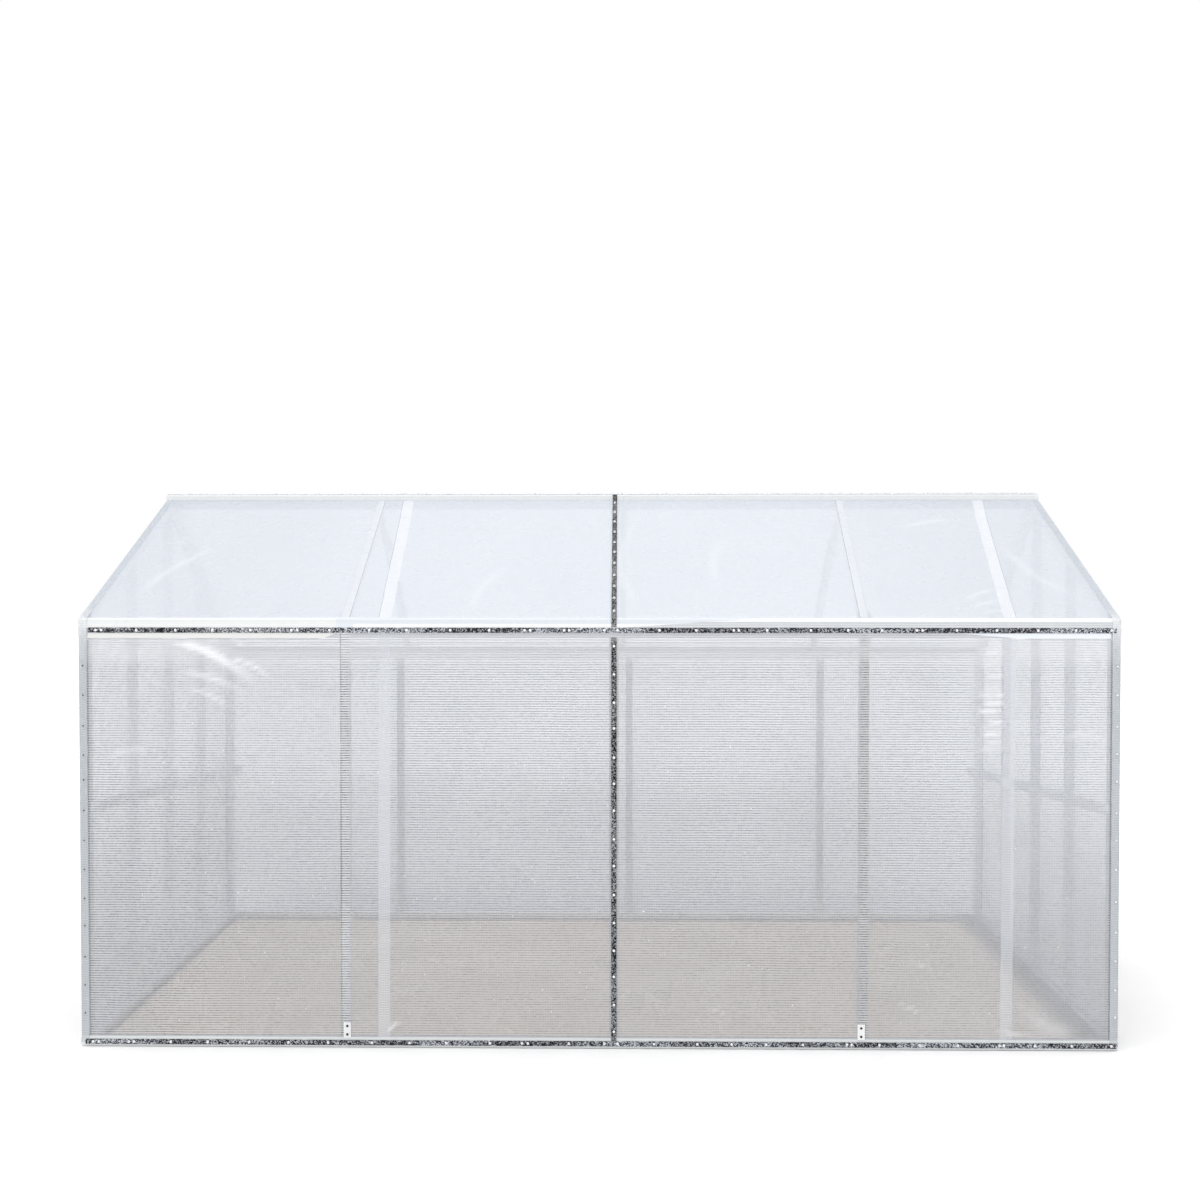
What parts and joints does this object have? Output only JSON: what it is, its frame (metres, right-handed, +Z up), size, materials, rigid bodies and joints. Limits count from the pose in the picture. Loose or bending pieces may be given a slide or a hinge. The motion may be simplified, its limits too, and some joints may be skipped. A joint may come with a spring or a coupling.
{
  "type": "cold frame",
  "caption": "Gable-roofed cold frame: square tube frame covered in clear reinforced film, with a hinged rear roof lid on folding prop arms.",
  "frame": {"origin": "middle of the footprint on the ground, at the bottom of the sills", "axes": "+X along the length to the right as seen from the high fixed side, +Y from the high fixed side to the low lid side, +Z up"},
  "size_m": [2.4388, 1.2224, 1.344],
  "materials": {
    "frame_tube": "satin",
    "clear_film": "clear film with a woven scrim",
    "batten_steel": "spangled zinc coat",
    "hinge_steel": "zinc coat"
  },
  "bodies": {
    "frame": {"batten_eave_left": "batten_steel", "batten_eave_right": "batten_steel", "batten_front_centre": "batten_steel", "batten_roof_centre": "batten_steel", "batten_sill_left": "batten_steel", "batten_sill_right": "batten_steel", "eave_rail_front": "frame_tube", "eave_rail_rear": "frame_tube", "film_front": "clear_film", "film_left": "clear_film", "film_rear": "clear_film", "film_right": "clear_film", "film_roof": "clear_film", "hinge_leaf_ridge": "hinge_steel", "hinge_pin": "hinge_steel", "post_front_left": "frame_tube", "post_front_right": "frame_tube", "post_rear_left": "frame_tube", "post_rear_right": "frame_tube", "rafter_front_centre": "frame_tube", "rafter_front_end_left": "frame_tube", "rafter_front_end_right": "frame_tube", "rafter_front_left": "frame_tube", "rafter_front_right": "frame_tube", "rafter_rear_left": "frame_tube", "rafter_rear_right": "frame_tube", "ridge": "frame_tube", "roof_rail_front": "frame_tube", "side_rail_left": "frame_tube", "side_rail_right": "frame_tube", "sill_front": "frame_tube", "sill_left": "frame_tube", "sill_rear": "frame_tube", "sill_right": "frame_tube", "stud_front_centre": "frame_tube", "stud_front_left": "frame_tube", "stud_front_right": "frame_tube", "stud_left_front": "frame_tube", "stud_left_middle": "frame_tube", "stud_left_rear": "frame_tube", "stud_rear_centre": "frame_tube", "stud_rear_left": "frame_tube", "stud_rear_right": "frame_tube", "stud_right_front": "frame_tube", "stud_right_middle": "frame_tube", "stud_right_rear": "frame_tube"},
    "lid": {"hinge_leaf_lid": "hinge_steel", "lid_bottom_rail": "frame_tube", "lid_film": "clear_film", "lid_muntin_centre": "frame_tube", "lid_muntin_left": "frame_tube", "lid_muntin_right": "frame_tube", "lid_stile_left": "frame_tube", "lid_stile_right": "frame_tube", "lid_top_rail": "frame_tube", "prop_bolt_left": "hinge_steel", "prop_bolt_right": "hinge_steel"},
    "prop_left": {"prop_arm_left": "frame_tube"},
    "prop_right": {"prop_arm_right": "frame_tube"}
  },
  "joints": [
    {"name": "lid_hinge", "type": "hinge", "parent": "frame", "child": "lid", "pos_m": [0, 0.0455, 1.3405], "axis": [1, 0, 0], "range_deg": [0, 135]},
    {"name": "prop_left_pivot", "type": "hinge", "parent": "lid", "child": "prop_left", "pos_m": [-0.617, 0.54854, 0.92089], "axis": [1, 0, 0], "range_deg": [0, 125]},
    {"name": "prop_right_pivot", "type": "hinge", "parent": "lid", "child": "prop_right", "pos_m": [0.664, 0.54854, 0.92089], "axis": [1, 0, 0], "range_deg": [0, 125]}
  ]
}
